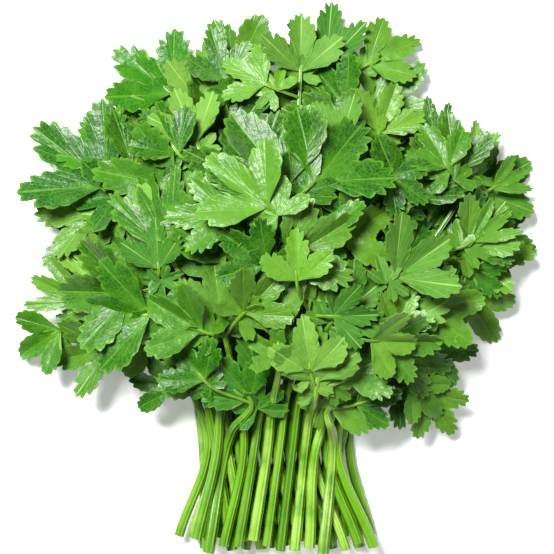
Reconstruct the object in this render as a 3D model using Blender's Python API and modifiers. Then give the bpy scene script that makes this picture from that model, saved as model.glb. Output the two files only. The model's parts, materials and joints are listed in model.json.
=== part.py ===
"""A loose cut bunch of flat-leaf parsley, lying down.

Metres, +Z up. The cut ends point to -Y, the leaves to +Y, and the bunch rests on z = 0.
Each cut sprig, a stem with its side branches and leaf blades, grew as one piece and is one object.
"""
import itertools
import math
import random

import bmesh
import bpy
from mathutils import Vector
from mathutils.bvhtree import BVHTree

# Overall sizes
CROWN_REACH = 0.173          # waist of the bunch to the furthest leaf base
CUT_LENGTH = 0.042           # waist to the cut ends
CUT_UNEVENNESS = 0.007       # how much further a stem may reach than its neighbours

SEED = 100                   # of all that varies from sprig to sprig

# Stems
STEM_RADIUS_CUT = 0.0023
STEM_RADIUS_WAIST = 0.0019
STEM_RADIUS_TOP = 0.0010
STEM_RADIUS_TIP = 0.0007
THINNEST_STEM = 0.82         # a thin stem's radius over a full one's
STEM_GAP = 0.0011            # between neighbouring stems where they run side by side
LAYER_GAP = 0.0006           # between one layer of stems and the next
LAYER_SKEW = (0.005, -0.008, 0.010, -0.006)
CUT_SPREAD = 1.12            # width at the cut ends over width at the waist
STEM_STEPS = 5
FIRST_LEAN = 0.3             # share of a stem's whole lean that it has at the waist
FIRST_PULL = 0.36            # how far the waist and the top blade guide a stem's curve
LAST_PULL = 0.32
SHARPEST_TURN = 1.0          # of a stem towards its top blade, in radians

# Side stalks
BRANCH_RADIUS = 0.0007
BRANCH_LENGTH = 0.020
BRANCH_ANGLES = (44, 66)     # from the stem, in degrees
FIRST_PAIR = 0.88            # share of the stem at which the topmost pair grows
PAIR_STEP = 0.26
PAIR_JITTER = 0.06

# Leaves
LEAF_LENGTH = 0.040          # the largest blade
LEAF_THICKNESS = 0.0007
LEAF_RIBS = 6                # cells across a blade
LEAF_HOLD = 0.16             # share of a blade that its stalk runs into
SIDE_LEAF_SIZES = (0.72, 0.95)
SIDE_LEAF_TURNS = (-10, 26)  # of a side blade back towards the stem, in degrees
FOLDS = (0.05, 0.34)
DROOPS = (0.02, 0.20)

# The pile: its height over the middle of the crown, its half width, and where along it is highest
CROWN_HEIGHT = 0.046
CROWN_HALF_WIDTH = 0.112
CROWN_PEAK = 0.075
RIM_SHARE = 0.30             # height of the pile at its rim over its height at the peak
WAIST_SHARE = 0.62           # height of the pile at the waist over its height at the peak
RISE_LENGTH = 0.045          # stems leave the flat waist for the pile over this length
SLOPE_STEP = 0.010
UNEVENNESS = 9               # degrees by which a blade lies off the pile's slope

# Finding a free place for each piece: a stem or stalk is tried at each rise or fall in turn, and
# there with each of these changes to its way
CLEARANCE = 0.00045
HULL_SIDES = 8
SHIFT = 0.0006
LARGEST_SHIFT = 0.015
HIGHEST_STEM_SHIFT = 0.060
SWINGS = (0, 0.09, -0.09, 0.18, -0.18)
EARLY_RISES = (1.3, 2.6)
TOP_TURNS = (0, 12, -12)
BRANCH_SWINGS = (0, 12, -12, 24, -24)
SHORTER = (1, 0.6)

# Shape of a blade: half its spread in degrees, depth of its notches, and how far its sides reach.
SHAPES = {
    "fan": (74, 0.20, 0.88),
    "lobed": (66, 0.42, 0.84),
    "trefoil": (76, 0.62, 0.90),
    "fork": (38, 0.45, 0.92),
}
LOBE_PLACE = 0.66
NOTCH_PLACE = 0.33
NOTCH_WIDTH = 0.17
BLADE_SHOULDER = 0.42

# Sprigs of each layer, lowest layer first. For each one: bearing of its top blade from the waist in
# degrees from +Y, its distance as a share of the reach, heading of that blade, its size as a share
# of the largest, its shape, and its number of pairs of side blades.
LAYERS = (
    (
        (-44, 0.50, -85, 0.70, "lobed", 3),
        (-41, 0.63, -70, 0.78, "fan", 2),
        (-28, 0.50, -35, 0.95, "fan", 3),
        (-17, 0.84, -50, 0.80, "fan", 3),
        (-13, 0.80, 8, 0.66, "lobed", 3),
        (-12, 0.66, -10, 0.95, "lobed", 3),
        (-6, 0.86, 20, 0.72, "lobed", 3),
        (4, 0.48, 10, 1.00, "fan", 3),
        (8, 0.88, 3, 0.70, "lobed", 3),
        (17, 0.80, 50, 0.74, "lobed", 3),
        (25, 0.60, 30, 0.90, "fan", 3),
        (40, 0.74, 62, 0.72, "fan", 2),
        (48, 0.62, 78, 0.70, "lobed", 3),
    ),
    (
        (-55, 0.54, -68, 0.72, "fork", 2),
        (-34, 0.70, -63, 1.00, "fan", 2),
        (-28, 0.70, 10, 0.74, "lobed", 2),
        (-15, 0.70, -35, 0.68, "lobed", 2),
        (-5, 0.58, -20, 0.90, "lobed", 2),
        (4, 0.85, 2, 0.66, "trefoil", 2),
        (11, 0.70, -30, 0.70, "lobed", 2),
        (19, 0.74, 30, 0.60, "fan", 2),
        (30, 0.76, -10, 0.64, "fork", 2),
        (37, 0.76, 22, 0.66, "fork", 2),
        (44, 0.62, 55, 0.66, "lobed", 2),
        (60, 0.40, 95, 0.66, "lobed", 2),
    ),
    (
        (-40, 0.48, -45, 0.68, "lobed", 2),
        (-30, 0.48, -33, 1.00, "fork", 2),
        (-10, 0.40, -12, 0.86, "trefoil", 1),
        (3, 0.57, -22, 1.00, "fan", 2),
        (8, 0.42, 8, 0.62, "fork", 2),
        (14, 0.62, -32, 0.62, "fork", 2),
        (21, 0.52, 6, 0.82, "trefoil", 2),
        (29, 0.62, 15, 0.78, "trefoil", 2),
        (36, 0.48, 25, 0.72, "lobed", 2),
        (45, 0.44, 70, 0.68, "fan", 2),
        (58, 0.34, 100, 0.62, "lobed", 1),
    ),
    (
        (-48, 0.20, -60, 0.62, "lobed", 1),
        (-34, 0.10, -48, 0.66, "lobed", 1),
        (-24, 0.30, -8, 0.72, "lobed", 1),
        (-14, 0.12, -18, 0.66, "fan", 1),
        (2, 0.22, -8, 0.80, "fork", 0),
        (14, 0.32, 6, 0.60, "trefoil", 1),
        (26, 0.30, 40, 0.68, "lobed", 1),
        (36, 0.16, 0, 0.62, "fan", 1),
        (48, 0.34, 14, 0.84, "lobed", 1),
        (62, 0.14, 62, 0.66, "lobed", 1),
    ),
)


def smooth(value):
    """Rise evenly from 0 to 1."""
    value = min(max(value, 0.0), 1.0)
    return value * value * (3 - 2 * value)


def towards(heading, pitch=0.0):
    """Return the unit vector at a heading from +Y and a pitch above level, both in radians."""
    return Vector((math.sin(heading) * math.cos(pitch), math.cos(heading) * math.cos(pitch),
                   math.sin(pitch)))


def bezier(points, share):
    """Return the point at a share of the way along a cubic curve."""
    rest = 1 - share
    weights = (rest ** 3, 3 * rest ** 2 * share, 3 * rest * share ** 2, share ** 3)
    return sum((point * weight for point, weight in zip(points, weights)), Vector())


def pile_height(point, share):
    """Return the height of the pile at a place, for the share of the pile that lies below."""
    along = point.y / CROWN_PEAK
    if along < 1:
        height = WAIST_SHARE + (1 - WAIST_SHARE) * smooth(along)
    else:
        height = 1 - (1 - RIM_SHARE) * smooth((point.y - CROWN_PEAK) / (CROWN_REACH - CROWN_PEAK))
    across = min(abs(point.x) / CROWN_HALF_WIDTH, 1)
    height *= 1 - (1 - RIM_SHARE) * across * across
    return STEM_RADIUS_CUT + share * height * CROWN_HEIGHT


def pile_slope(point, direction, share):
    """Return the angle at which the pile rises in a level direction."""
    step = direction * SLOPE_STEP
    rise = pile_height(point + step, share) - pile_height(point - step, share)
    return math.atan2(rise, 2 * SLOPE_STEP)


class Blade:
    """A leaf blade: a fan of veins from its base, folded along the middle and drooping at its tip."""

    def __init__(self, base, heading, share, length, shape, dice):
        self.length = length
        self.spread, self.notch, self.side = SHAPES[shape]
        self.tilt = [math.radians(dice.uniform(-UNEVENNESS, UNEVENNESS)) for _ in range(2)]
        self.fold = dice.uniform(*FOLDS)
        self.droop = dice.uniform(*DROOPS)
        self.place(base, heading, share)

    def place(self, base, heading, share):
        """Put the blade down at a heading, tilted to the slope of the pile."""
        self.base = base.copy()
        self.heading = heading
        level = towards(self.heading + math.pi / 2)
        middle = self.base + towards(self.heading) * self.length / 2
        pitch = pile_slope(middle, towards(self.heading), share) + self.tilt[0]
        roll = pile_slope(middle, level, share) + self.tilt[1]
        self.forward = towards(self.heading, pitch)
        self.right = level * math.cos(roll) + level.cross(self.forward) * math.sin(roll)
        self.up = self.right.cross(self.forward)

    def outline(self, across):
        """Return the blade's reach on a vein, from -1 on its left edge to 1 on its right edge."""
        away = abs(across)
        reach = 1 - (1 - self.side) * min(away / LOBE_PLACE, 1.0) ** 2
        reach *= 1 - self.notch * math.exp(-((away - NOTCH_PLACE) / NOTCH_WIDTH) ** 2)
        return reach * (1 - (1 - BLADE_SHOULDER) * smooth((away - LOBE_PLACE) / (1 - LOBE_PLACE)))

    def point(self, across, along=1.0):
        """Return a point of the blade: across from -1 to 1, and along a straight vein from 0 to 1."""
        angle = across * math.radians(self.spread)
        reach = self.outline(across) * self.length
        ahead, aside = reach * math.cos(angle), reach * math.sin(angle)
        height = self.fold * abs(aside) - self.droop * ahead * ahead / self.length
        return self.base + (self.forward * ahead + self.right * aside + self.up * height) * along

    def hull(self, margin):
        """Return the corners and faces of the blade as a plate that is thicker by a margin."""
        rim = [self.point(2 * rib / LEAF_RIBS - 1) for rib in range(LEAF_RIBS + 1)]
        half = self.up * (LEAF_THICKNESS / 2 + margin)
        corners = [self.base, *rim]
        count = len(corners)
        points = [corner + half for corner in corners] + [corner - half for corner in corners]
        faces = [(0, rib, rib + 1) for rib in range(1, count - 1)]
        faces += [(count, count + rib + 1, count + rib) for rib in range(1, count - 1)]
        faces += [(rib, (rib + 1) % count, (rib + 1) % count + count, rib + count)
                  for rib in range(count)]
        return points, faces


class Branch:
    """A side stalk from a share of the stem's route to the blade that it carries."""

    def __init__(self, start, blade):
        self.start, self.blade = start, blade

    def points(self):
        """Return the stalk's points with their radii, from inside the stem into the blade."""
        return [(self.start, BRANCH_RADIUS), (self.blade.base, BRANCH_RADIUS),
                (self.blade.point(0, LEAF_HOLD), BRANCH_RADIUS)]


class Sprig:
    """The plan of one sprig: its stem's route, its branches and its blades."""

    def __init__(self, layer, column, columns, row, number, share):
        bearing, reach, heading, size, shape, pairs = row
        self.dice = random.Random(SEED + number)
        self.share = share
        pitch = (2 * STEM_RADIUS_CUT + STEM_GAP) / CUT_SPREAD
        height = STEM_RADIUS_CUT + layer * (2 * STEM_RADIUS_CUT + LAYER_GAP)
        self.girth = 1 if layer == 0 else self.dice.uniform(THINNEST_STEM, 1)
        waist = Vector(((column - (columns - 1) / 2) * pitch, 0, height))
        length = CUT_LENGTH + self.dice.uniform(0, CUT_UNEVENNESS)
        aside = (waist.x * (CUT_SPREAD - 1) + LAYER_SKEW[layer]) * length / CUT_LENGTH
        self.cut = Vector((waist.x + aside, -length, height))
        self.heading = math.radians(heading)
        self.waist = waist
        self.top = towards(math.radians(bearing)) * reach * CROWN_REACH
        self.set_route(0)
        self.size = size * LEAF_LENGTH
        self.blade = Blade(self.stations[-1], self.heading, share, self.size, shape, self.dice)
        self.shape = shape
        self.pairs = pairs
        self.branches = []

    def set_route(self, swing):
        """Lead the stem from the waist to its top blade, swung a little to a side on its way."""
        way = self.top - self.waist
        way.z = 0
        lean = math.atan2(way.x, way.y)
        last = lean + min(max(self.heading - lean, -SHARPEST_TURN), SHARPEST_TURN)
        aside = towards(lean + math.pi / 2) * swing * way.length
        first_pull = towards(lean * FIRST_LEAN) * way.length * FIRST_PULL
        last_pull = towards(last) * way.length * LAST_PULL
        route = (self.waist, self.waist + first_pull,
                 self.waist + way - last_pull + aside, self.waist + way)
        self.stations = [bezier(route, step / STEM_STEPS) for step in range(STEM_STEPS + 1)]
        for station in self.stations[1:]:
            settled = smooth(station.y / RISE_LENGTH)
            station.z += (pile_height(station, self.share) - station.z) * settled

    def on_stem(self, share):
        """Return the point at a share of the stem above the waist."""
        step = min(int(share * STEM_STEPS), STEM_STEPS - 1)
        return self.stations[step].lerp(self.stations[step + 1], share * STEM_STEPS - step)

    def stem_points(self):
        """Return the stem's points with their radii, from its cut end into its top blade."""
        points = [(self.cut, STEM_RADIUS_CUT * self.girth)]
        for step, station in enumerate(self.stations):
            share = step / STEM_STEPS
            radius = STEM_RADIUS_WAIST + (STEM_RADIUS_TOP - STEM_RADIUS_WAIST) * share
            points.append((station, radius * self.girth))
        points.append((self.blade.point(0, LEAF_HOLD), STEM_RADIUS_TIP))
        return points

    def lay_stem(self, bed):
        """Raise the stem and its top blade together to the first free height."""
        for shift in bed.shifts(HIGHEST_STEM_SHIFT):
            for swing, early in itertools.product(SWINGS, EARLY_RISES):
                self.set_route(swing)
                for step, station in enumerate(self.stations):
                    station.z += shift * smooth(early * step / STEM_STEPS)
                for turn in TOP_TURNS:
                    heading = self.heading + math.radians(turn)
                    self.blade.place(self.stations[-1], heading, self.share)
                    stem = self.stem_points()
                    if bed.is_free(self.blade.hull(CLEARANCE)) and bed.is_free(prism(stem, CLEARANCE)):
                        self.own = [bed.add(prism(stem, 0)), bed.add(self.blade.hull(0))]
                        return

    def grow_branches(self, bed):
        for pair in range(self.pairs):
            for side in (-1, 1):
                share = FIRST_PAIR - PAIR_STEP * pair + self.dice.uniform(-PAIR_JITTER, PAIR_JITTER)
                self.grow_branch(bed, share, side)

    def grow_branch(self, bed, share, side):
        """Grow a side stalk and its blade at the free place nearest to where they want to be."""
        start = self.on_stem(share)
        ahead = self.on_stem(share + 0.05) - start
        angle = math.radians(self.dice.uniform(*BRANCH_ANGLES))
        heading = math.atan2(ahead.x, ahead.y) + side * angle
        reach = BRANCH_LENGTH * self.dice.uniform(0.55, 1.05)
        turn = side * math.radians(self.dice.uniform(*SIDE_LEAF_TURNS))
        length = self.size * self.dice.uniform(*SIDE_LEAF_SIZES)
        shape = self.dice.choice((self.shape, "lobed", "fan"))
        blade = Blade(start, heading - turn, self.share, length, shape, self.dice)
        branch = Branch(start, blade)
        for shift in bed.shifts():
            for swing, short in itertools.product(BRANCH_SWINGS, SHORTER):
                way = heading + math.radians(swing)
                base = start + towards(way) * reach * short
                base.z += pile_height(base, self.share) - pile_height(start, self.share) + shift
                blade.place(base, way - turn, self.share)
                stalk = branch.points()
                is_free = bed.is_free(prism(stalk, CLEARANCE), self.own)
                if is_free and bed.is_free(blade.hull(CLEARANCE), self.own[:1]):
                    self.branches.append(branch)
                    self.own += [bed.add(prism(stalk, 0)), bed.add(blade.hull(0))]
                    return


class Bed:
    """What already lies on the surface."""

    def __init__(self):
        self.trees = []

    @staticmethod
    def shifts(highest=LARGEST_SHIFT):
        """Return rises and falls to try, from none to the largest, and then rises to the highest."""
        yield 0
        for count in range(1, int(highest / SHIFT) + 1):
            yield count * SHIFT
            if count * SHIFT < LARGEST_SHIFT:
                yield -count * SHIFT

    def is_free(self, hull, own=()):
        points, faces = hull
        if min(point.z for point in points) < -CLEARANCE * 2:
            return False
        tree = BVHTree.FromPolygons(points, faces)
        return not any(tree.overlap(other) for other in self.trees if other not in own)

    def add(self, hull):
        tree = BVHTree.FromPolygons(*hull)
        self.trees.append(tree)
        return tree


def prism(points, margin):
    """Return the corners and faces of a plain tube that is thicker by a margin."""
    corners, faces = [], []
    for index, (place, radius) in enumerate(points):
        before, after = points[max(index - 1, 0)][0], points[min(index + 1, len(points) - 1)][0]
        aside = (after - before).cross(Vector((0, 0, 1))).normalized()
        upward = aside.cross(after - before).normalized()
        for side in range(HULL_SIDES):
            angle = 2 * math.pi * side / HULL_SIDES
            way = aside * math.cos(angle) + upward * math.sin(angle)
            corners.append(place + way * (radius + margin))
    for ring in range(len(points) - 1):
        for side in range(HULL_SIDES):
            first = ring * HULL_SIDES + side
            second = ring * HULL_SIDES + (side + 1) % HULL_SIDES
            faces.append((first, second, second + HULL_SIDES, first + HULL_SIDES))
    return corners, faces


def clear_scene():
    for thing in list(bpy.data.objects):
        bpy.data.objects.remove(thing, do_unlink=True)


def new_collection(name):
    collection = bpy.data.collections.new(name)
    bpy.context.scene.collection.children.link(collection)
    return collection


def evaluated_mesh(thing):
    """Return a new mesh with the object's modifiers or bevel applied."""
    bpy.context.view_layer.update()
    graph = bpy.context.evaluated_depsgraph_get()
    return bpy.data.meshes.new_from_object(thing.evaluated_get(graph))


def fill_hollows(mesh):
    """Keep only the outer skin, so that a hollow which the union closed in becomes solid."""
    solid = bmesh.new()
    solid.from_mesh(mesh)
    skins = []
    left = set(solid.verts)
    while left:
        skin = set()
        edge = {left.pop()}
        while edge:
            skin |= edge
            edge = {link.other_vert(vert) for vert in edge for link in vert.link_edges} - skin
        left -= skin
        skins.append(skin)
    outer = max(skins, key=lambda skin: (len(skin), max(vert.co.z for vert in skin)))
    bmesh.ops.delete(solid, geom=[vert for vert in solid.verts if vert not in outer])
    solid.to_mesh(mesh)
    solid.free()


def make_tube(name, points, sides, collection):
    """Make a closed tube through points that each have their own radius."""
    curve = bpy.data.curves.new(name, "CURVE")
    curve.dimensions = "3D"
    curve.bevel_depth = 1.0
    curve.bevel_resolution = (sides - 4) // 2
    curve.use_fill_caps = True
    spline = curve.splines.new("POLY")
    spline.points.add(len(points) - 1)
    for target, (place, radius) in zip(spline.points, points):
        target.co = (*place, 1)
        target.radius = radius
    source = bpy.data.objects.new(name + "_curve", curve)
    collection.objects.link(source)
    mesh = evaluated_mesh(source)
    bpy.data.objects.remove(source)
    solid = bmesh.new()
    solid.from_mesh(mesh)
    bmesh.ops.remove_doubles(solid, verts=solid.verts, dist=0.00001)
    bmesh.ops.recalc_face_normals(solid, faces=solid.faces)
    solid.to_mesh(mesh)
    solid.free()
    tube = bpy.data.objects.new(name, mesh)
    collection.objects.link(tube)
    return tube


def make_blade(name, blade, collection):
    """Make a blade as an open fan with Solidify."""
    sheet = bmesh.new()
    bmesh.ops.create_grid(sheet, x_segments=1, y_segments=LEAF_RIBS, size=1)
    for vert in sheet.verts:
        vert.co = blade.point(vert.co.y, (vert.co.x + 1) / 2)
    bmesh.ops.remove_doubles(sheet, verts=sheet.verts, dist=0.00001)
    mesh = bpy.data.meshes.new(name)
    sheet.to_mesh(mesh)
    sheet.free()
    leaf = bpy.data.objects.new(name, mesh)
    collection.objects.link(leaf)
    skin = leaf.modifiers.new("thickness", "SOLIDIFY")
    skin.thickness = LEAF_THICKNESS
    skin.offset = 0
    return leaf


def grow_solid(name, sprig):
    """Join a sprig's stem, branches and blades into one closed mesh."""
    pieces = new_collection(name + "_pieces")
    stem = make_tube(name + "_stem", sprig.stem_points(), 6, bpy.context.scene.collection)
    make_blade(name + "_top_blade", sprig.blade, pieces)
    for number, branch in enumerate(sprig.branches):
        make_tube(f"{name}_branch_{number}", branch.points(), 4, pieces)
        make_blade(f"{name}_blade_{number}", branch.blade, pieces)
    union = stem.modifiers.new("union", "BOOLEAN")
    union.operation = "UNION"
    union.solver = "EXACT"
    union.operand_type = "COLLECTION"
    union.collection = pieces
    mesh = evaluated_mesh(stem)
    fill_hollows(mesh)
    for thing in list(pieces.objects) + [stem]:
        bpy.data.objects.remove(thing, do_unlink=True)
    bpy.data.collections.remove(pieces)
    return mesh


def green(name, dice):
    """Make the sprig's own leaf green."""
    material = bpy.data.materials.new(name)
    material.use_nodes = True
    shade = dice.uniform(0.75, 1.25)
    material.diffuse_color = (0.11 * shade, 0.33 * shade, 0.05 * shade, 1)
    shader = material.node_tree.nodes["Principled BSDF"]
    shader.inputs["Base Color"].default_value = material.diffuse_color
    shader.inputs["Roughness"].default_value = 0.42
    shader.inputs["Metallic"].default_value = 0.0
    return material


def centre(parts):
    """Bring the middle of the bunch's outline over the origin."""
    corners = [vert.co for part in parts for vert in part.data.vertices]
    middle = [(min(co[axis] for co in corners) + max(co[axis] for co in corners)) / 2
              for axis in (0, 1)]
    for co in corners:
        co.x -= middle[0]
        co.y -= middle[1]


def lay_bunch():
    """Lay all stems with their top blades, lowest first, and then let their side blades grow."""
    bed = Bed()
    sprigs = []
    total = sum(len(layer) for layer in LAYERS)
    for level, layer in enumerate(LAYERS):
        columns = sorted(layer)
        for row in sorted(layer, key=lambda row: -row[1]):
            share = len(sprigs) / (total - 1)
            sprig = Sprig(level, columns.index(row), len(columns), row, len(sprigs), share)
            sprig.lay_stem(bed)
            sprigs.append(sprig)
    for sprig in sprigs:
        sprig.grow_branches(bed)
    return sprigs


def main():
    clear_scene()
    bunch = new_collection("parsley_bunch")
    parts = []
    for number, sprig in enumerate(lay_bunch(), 1):
        name = f"sprig_{number:02d}"
        mesh = grow_solid(name, sprig)
        mesh.name = name
        mesh.materials.clear()
        mesh.materials.append(green(name, sprig.dice))
        part = bpy.data.objects.new(name, mesh)
        bunch.objects.link(part)
        parts.append(part)
    centre(parts)


main()
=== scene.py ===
import copy
import itertools
import json
import math
import random

import bpy
import numpy as np
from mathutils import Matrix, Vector
from mathutils.bvhtree import BVHTree

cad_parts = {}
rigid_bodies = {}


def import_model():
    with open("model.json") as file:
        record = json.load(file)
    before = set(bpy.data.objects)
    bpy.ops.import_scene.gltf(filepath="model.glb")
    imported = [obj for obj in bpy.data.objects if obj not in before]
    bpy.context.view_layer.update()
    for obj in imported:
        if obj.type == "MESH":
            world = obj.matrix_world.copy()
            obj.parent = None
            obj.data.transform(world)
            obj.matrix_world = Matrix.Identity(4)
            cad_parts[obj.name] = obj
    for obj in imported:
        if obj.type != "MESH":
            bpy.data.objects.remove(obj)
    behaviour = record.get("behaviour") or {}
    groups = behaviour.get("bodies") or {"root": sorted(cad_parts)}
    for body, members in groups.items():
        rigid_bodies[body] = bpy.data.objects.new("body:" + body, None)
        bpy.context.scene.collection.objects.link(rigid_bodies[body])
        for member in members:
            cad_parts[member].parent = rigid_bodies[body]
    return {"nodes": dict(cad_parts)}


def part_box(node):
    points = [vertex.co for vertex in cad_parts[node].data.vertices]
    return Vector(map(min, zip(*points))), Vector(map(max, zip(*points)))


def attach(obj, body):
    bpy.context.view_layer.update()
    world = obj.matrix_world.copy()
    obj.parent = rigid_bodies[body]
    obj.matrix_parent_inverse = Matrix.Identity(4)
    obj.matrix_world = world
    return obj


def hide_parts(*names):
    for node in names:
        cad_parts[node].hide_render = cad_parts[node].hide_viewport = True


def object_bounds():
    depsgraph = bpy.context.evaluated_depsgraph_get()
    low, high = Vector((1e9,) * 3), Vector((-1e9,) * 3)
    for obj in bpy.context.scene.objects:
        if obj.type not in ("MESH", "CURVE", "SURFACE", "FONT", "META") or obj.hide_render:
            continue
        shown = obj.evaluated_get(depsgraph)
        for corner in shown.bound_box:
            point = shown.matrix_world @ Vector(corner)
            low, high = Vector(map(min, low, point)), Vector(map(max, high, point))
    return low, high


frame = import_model()
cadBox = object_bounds()
print("frame loaded,", len(frame["nodes"]), "sprigs")

# The same growth rules as the solids, so every stalk and blade finds its own solid again

bunch = {
    "seed": 100,
    "reach": 0.173,          # waist to the furthest leaf base
    "cutLength": 0.042,      # waist to the cut ends
    "cutUnevenness": 0.007,
    "stemGap": 0.0011,
    "layerGap": 0.0006,
    "layerSkew": (0.005, -0.008, 0.010, -0.006),
    "cutSpread": 1.12,
    "height": 0.046,         # the pile over the middle of the crown
    "halfWidth": 0.112,
    "peak": 0.075,
    "rimShare": 0.30,
    "waistShare": 0.62,
    "riseLength": 0.045,
    "slopeStep": 0.010,
    "unevenness": 9,
}

stem = {
    "radiusCut": 0.0023,
    "radiusWaist": 0.0019,
    "radiusTop": 0.0010,
    "radiusTip": 0.0007,
    "thinnest": 0.82,
    "steps": 5,
    "firstLean": 0.3,
    "firstPull": 0.36,
    "lastPull": 0.32,
    "sharpestTurn": 1.0,
}

stalk = {
    "radius": 0.0007,
    "length": 0.020,
    "lengthRange": (0.55, 1.05),
    "angles": (44, 66),
    "firstPair": 0.88,
    "pairStep": 0.26,
    "pairJitter": 0.06,
    "lookAhead": 0.05,
}

blade = {
    "length": 0.040,
    "thickness": 0.0007,     # of the solid
    "ribs": 6,
    "hold": 0.16,
    "sideSizes": (0.72, 0.95),
    "sideTurns": (-10, 26),
    "folds": (0.05, 0.34),
    "droops": (0.02, 0.20),
    "lobePlace": 0.66,
    "notchPlace": 0.33,
    "notchWidth": 0.17,
    "shoulder": 0.42,
    "shapes": {              # half spread in degrees, notch depth, reach of the sides
        "fan": (74, 0.20, 0.88),
        "lobed": (66, 0.42, 0.84),
        "trefoil": (76, 0.62, 0.90),
        "fork": (38, 0.45, 0.92),
    },
}

search = {
    "clearance": 0.00045,
    "sides": 8,
    "shift": 0.0006,
    "largestShift": 0.015,
    "highestStemShift": 0.060,
    "swings": (0, 0.09, -0.09, 0.18, -0.18),
    "earlyRises": (1.3, 2.6),
    "topTurns": (0, 12, -12),
    "stalkSwings": (0, 12, -12, 24, -24),
    "shorter": (1, 0.6),
}

# bearing and reach of the top blade, its heading, size and shape, pairs of side blades
layers = (
    (
        (-44, 0.50, -85, 0.70, "lobed", 3),
        (-41, 0.63, -70, 0.78, "fan", 2),
        (-28, 0.50, -35, 0.95, "fan", 3),
        (-17, 0.84, -50, 0.80, "fan", 3),
        (-13, 0.80, 8, 0.66, "lobed", 3),
        (-12, 0.66, -10, 0.95, "lobed", 3),
        (-6, 0.86, 20, 0.72, "lobed", 3),
        (4, 0.48, 10, 1.00, "fan", 3),
        (8, 0.88, 3, 0.70, "lobed", 3),
        (17, 0.80, 50, 0.74, "lobed", 3),
        (25, 0.60, 30, 0.90, "fan", 3),
        (40, 0.74, 62, 0.72, "fan", 2),
        (48, 0.62, 78, 0.70, "lobed", 3),
    ),
    (
        (-55, 0.54, -68, 0.72, "fork", 2),
        (-34, 0.70, -63, 1.00, "fan", 2),
        (-28, 0.70, 10, 0.74, "lobed", 2),
        (-15, 0.70, -35, 0.68, "lobed", 2),
        (-5, 0.58, -20, 0.90, "lobed", 2),
        (4, 0.85, 2, 0.66, "trefoil", 2),
        (11, 0.70, -30, 0.70, "lobed", 2),
        (19, 0.74, 30, 0.60, "fan", 2),
        (30, 0.76, -10, 0.64, "fork", 2),
        (37, 0.76, 22, 0.66, "fork", 2),
        (44, 0.62, 55, 0.66, "lobed", 2),
        (60, 0.40, 95, 0.66, "lobed", 2),
    ),
    (
        (-40, 0.48, -45, 0.68, "lobed", 2),
        (-30, 0.48, -33, 1.00, "fork", 2),
        (-10, 0.40, -12, 0.86, "trefoil", 1),
        (3, 0.57, -22, 1.00, "fan", 2),
        (8, 0.42, 8, 0.62, "fork", 2),
        (14, 0.62, -32, 0.62, "fork", 2),
        (21, 0.52, 6, 0.82, "trefoil", 2),
        (29, 0.62, 15, 0.78, "trefoil", 2),
        (36, 0.48, 25, 0.72, "lobed", 2),
        (45, 0.44, 70, 0.68, "fan", 2),
        (58, 0.34, 100, 0.62, "lobed", 1),
    ),
    (
        (-48, 0.20, -60, 0.62, "lobed", 1),
        (-34, 0.10, -48, 0.66, "lobed", 1),
        (-24, 0.30, -8, 0.72, "lobed", 1),
        (-14, 0.12, -18, 0.66, "fan", 1),
        (2, 0.22, -8, 0.80, "fork", 0),
        (14, 0.32, 6, 0.60, "trefoil", 1),
        (26, 0.30, 40, 0.68, "lobed", 1),
        (36, 0.16, 0, 0.62, "fan", 1),
        (48, 0.34, 14, 0.84, "lobed", 1),
        (62, 0.14, 62, 0.66, "lobed", 1),
    ),
)


def smooth(value):
    value = min(max(value, 0.0), 1.0)
    return value * value * (3 - 2 * value)


def towards(heading, pitch=0.0):  # unit vector, heading from +Y
    return Vector((math.sin(heading) * math.cos(pitch), math.cos(heading) * math.cos(pitch),
                   math.sin(pitch)))


def bezier(points, share):
    rest = 1 - share
    weights = (rest ** 3, 3 * rest ** 2 * share, 3 * rest * share ** 2, share ** 3)
    return sum((point * weight for point, weight in zip(points, weights)), Vector())


def pileHeight(point, share):
    along = point.y / bunch["peak"]
    if along < 1:
        height = bunch["waistShare"] + (1 - bunch["waistShare"]) * smooth(along)
    else:
        height = 1 - (1 - bunch["rimShare"]) * smooth(
            (point.y - bunch["peak"]) / (bunch["reach"] - bunch["peak"]))
    across = min(abs(point.x) / bunch["halfWidth"], 1)
    height *= 1 - (1 - bunch["rimShare"]) * across * across
    return stem["radiusCut"] + share * height * bunch["height"]


def pileSlope(point, direction, share):
    step = direction * bunch["slopeStep"]
    rise = pileHeight(point + step, share) - pileHeight(point - step, share)
    return math.atan2(rise, 2 * bunch["slopeStep"])


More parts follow.
